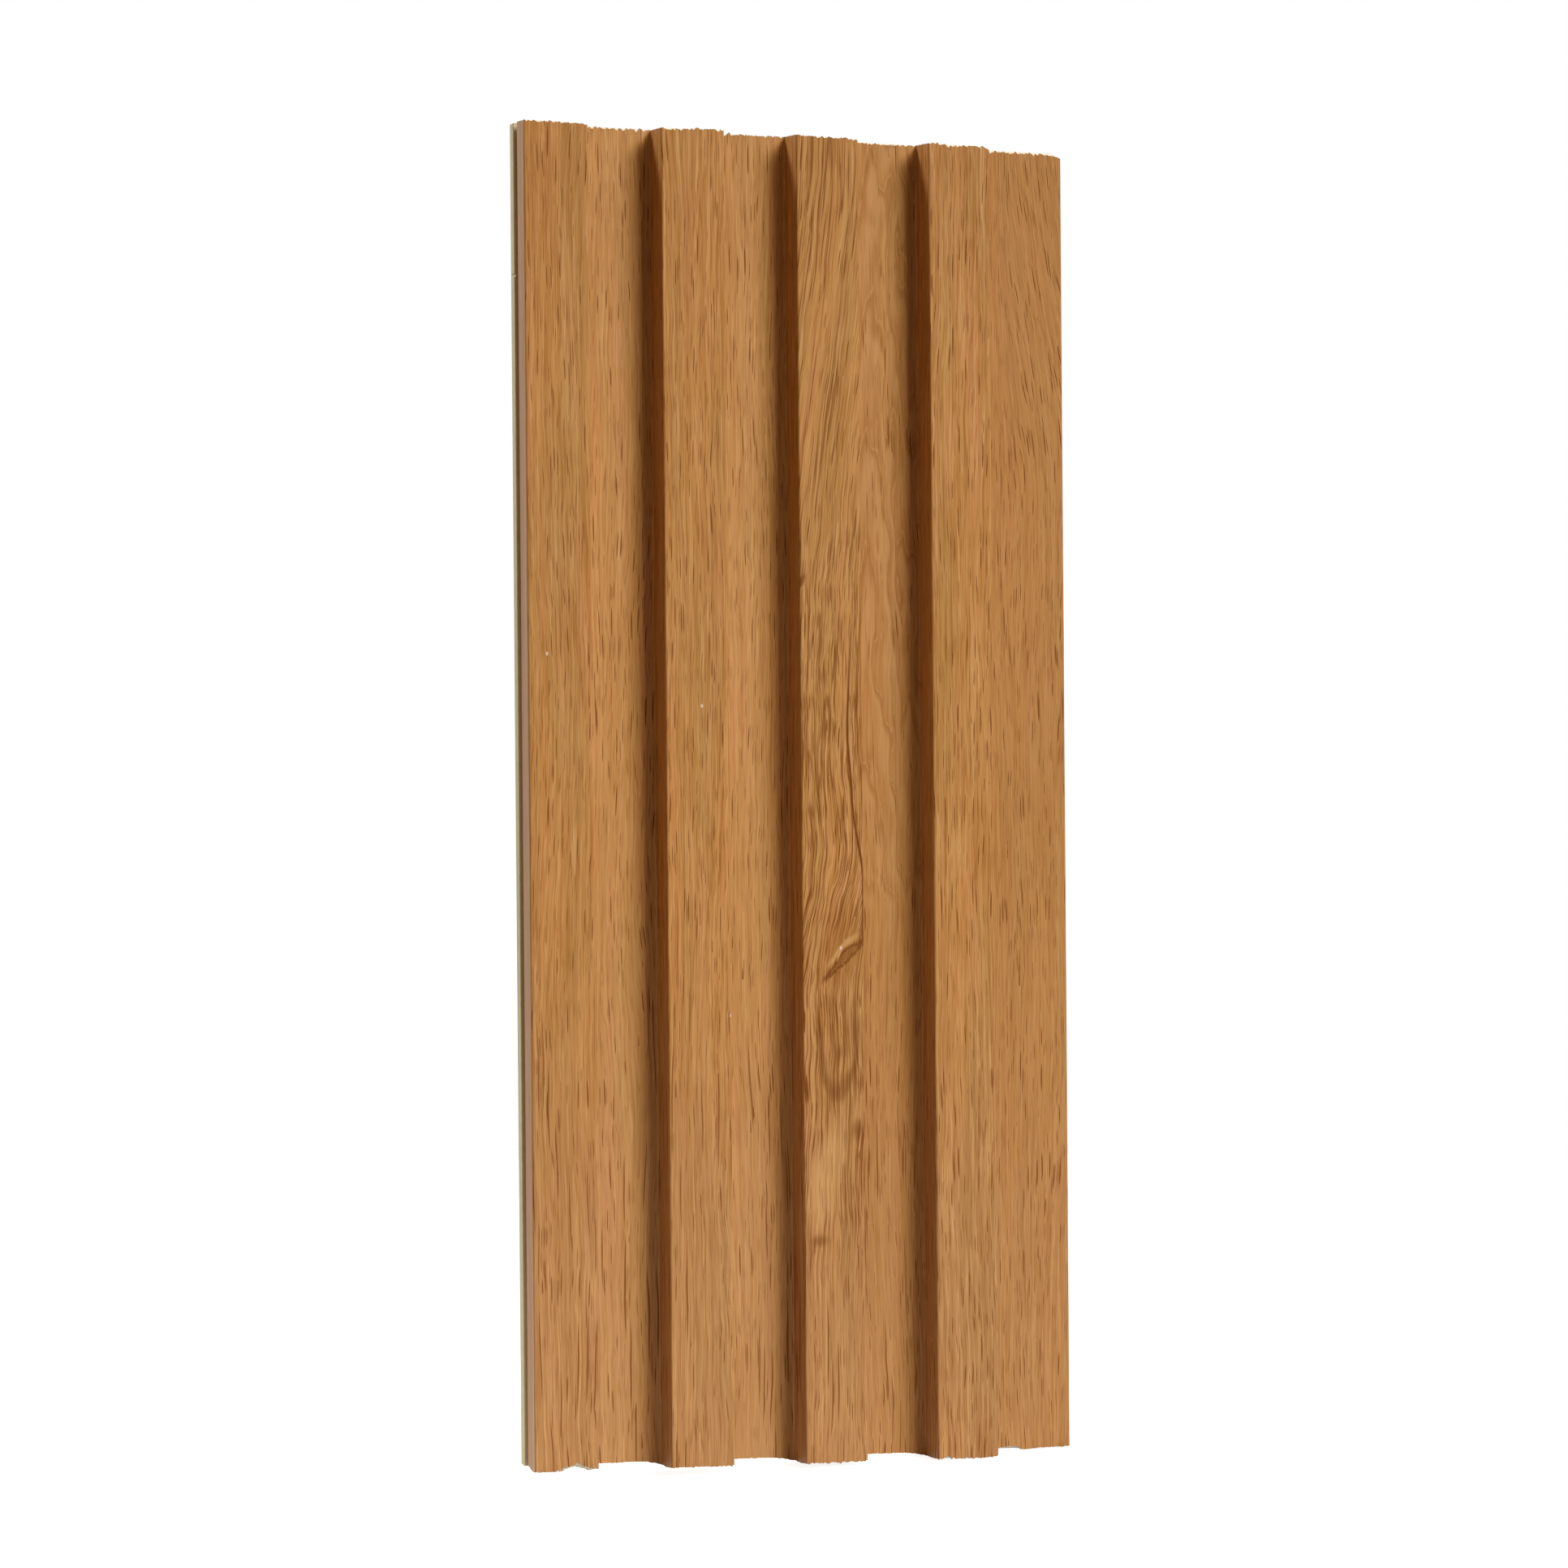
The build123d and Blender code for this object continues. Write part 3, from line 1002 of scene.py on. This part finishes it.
def makeFloor():
    bpy.ops.mesh.primitive_circle_add(
        vertices=96, radius=studio["floorRadius"], fill_type="NGON", location=(0, 0, cadBox[0].z),
    )
    floor = bpy.context.active_object
    floor.name = "floor"
    material, tree = newMaterial("paleFloor")
    place = put(tree, "TexCoord").outputs["Object"]
    away = put(tree, "VectorMath", {0: place}, operation="LENGTH").outputs["Value"]
    glow = fade(tree, away, *studio["floorFade"], *studio["floorGlow"])
    tone = fade(tree, away, *studio["floorFade"], *studio["floorTone"])
    shader = put(tree, "BsdfPrincipled", {
        "Base Color": tint(tree, tone, studio["black"], studio["white"]),
        "Roughness": 0.9,
        "Emission Color": studio["white"],
        "Emission Strength": times(tree, seenByEye(tree), glow),
    })
    finishTree(tree, shader, "OutputMaterial")
    floor.data.materials.append(material)


def makeWorld():
    world = bpy.data.worlds.new("studio")
    bpy.context.scene.world = world
    world.use_nodes = True
    tree = world.node_tree
    tree.nodes.clear()
    seen = seenByEye(tree)
    strength = put(tree, "MapRange", {"Value": seen, "To Min": studio["world"], "To Max": 1.0}).outputs[0]
    shade = tint(tree, seen, studio["warmth"], studio["white"])
    shine = put(tree, "Background", {"Color": shade, "Strength": strength})
    finishTree(tree, shine, "OutputWorld")


def makeLamp(name, settings):
    towards = Vector(settings["towards"]).normalized()
    turn = towards.to_track_quat("Z", "Y")
    place = Vector((0, 0, settings["aim"])) + towards * settings["distance"]
    place += turn @ Vector((settings["aside"], 0, 0))
    bpy.ops.object.light_add(type="AREA", location=place)
    lamp = bpy.context.active_object
    lamp.name = name
    lamp.data.shape = "RECTANGLE"
    lamp.data.size, lamp.data.size_y = settings["size"]
    lamp.data.energy = settings["power"]
    lamp.data.color = settings["tone"]
    lamp.rotation_euler = turn.to_euler()


makeFloor()
makeWorld()
for name, settings in studio["lamps"].items():
    makeLamp(name, settings)

# the camera stands a little to the left and level with the panel's middle; places are in m, the
# roll is in degrees, and the lens and its sensor are in mm
view = {
    "place": (-0.3335, -0.97384, 0.01443),
    "aim": (-0.0026, -0.0081, 0.003),
    "roll": -0.46,
    "lens": 108.2,
    "sensor": 36.0,
}


def makeCamera():
    bpy.ops.object.camera_add(location=view["place"])
    camera = bpy.context.active_object
    camera.name = "camera"
    camera.data.lens = view["lens"]
    camera.data.sensor_width = view["sensor"]
    gaze = Vector(view["aim"]) - Vector(view["place"])
    turn = Matrix.Rotation(math.radians(-view["roll"]), 4, gaze.normalized())
    camera.rotation_euler = (turn @ gaze.to_track_quat("-Z", "Y").to_matrix().to_4x4()).to_euler()
    bpy.context.scene.camera = camera


makeCamera()
bpy.context.scene.view_settings.view_transform = "Standard"
print("studio ready")
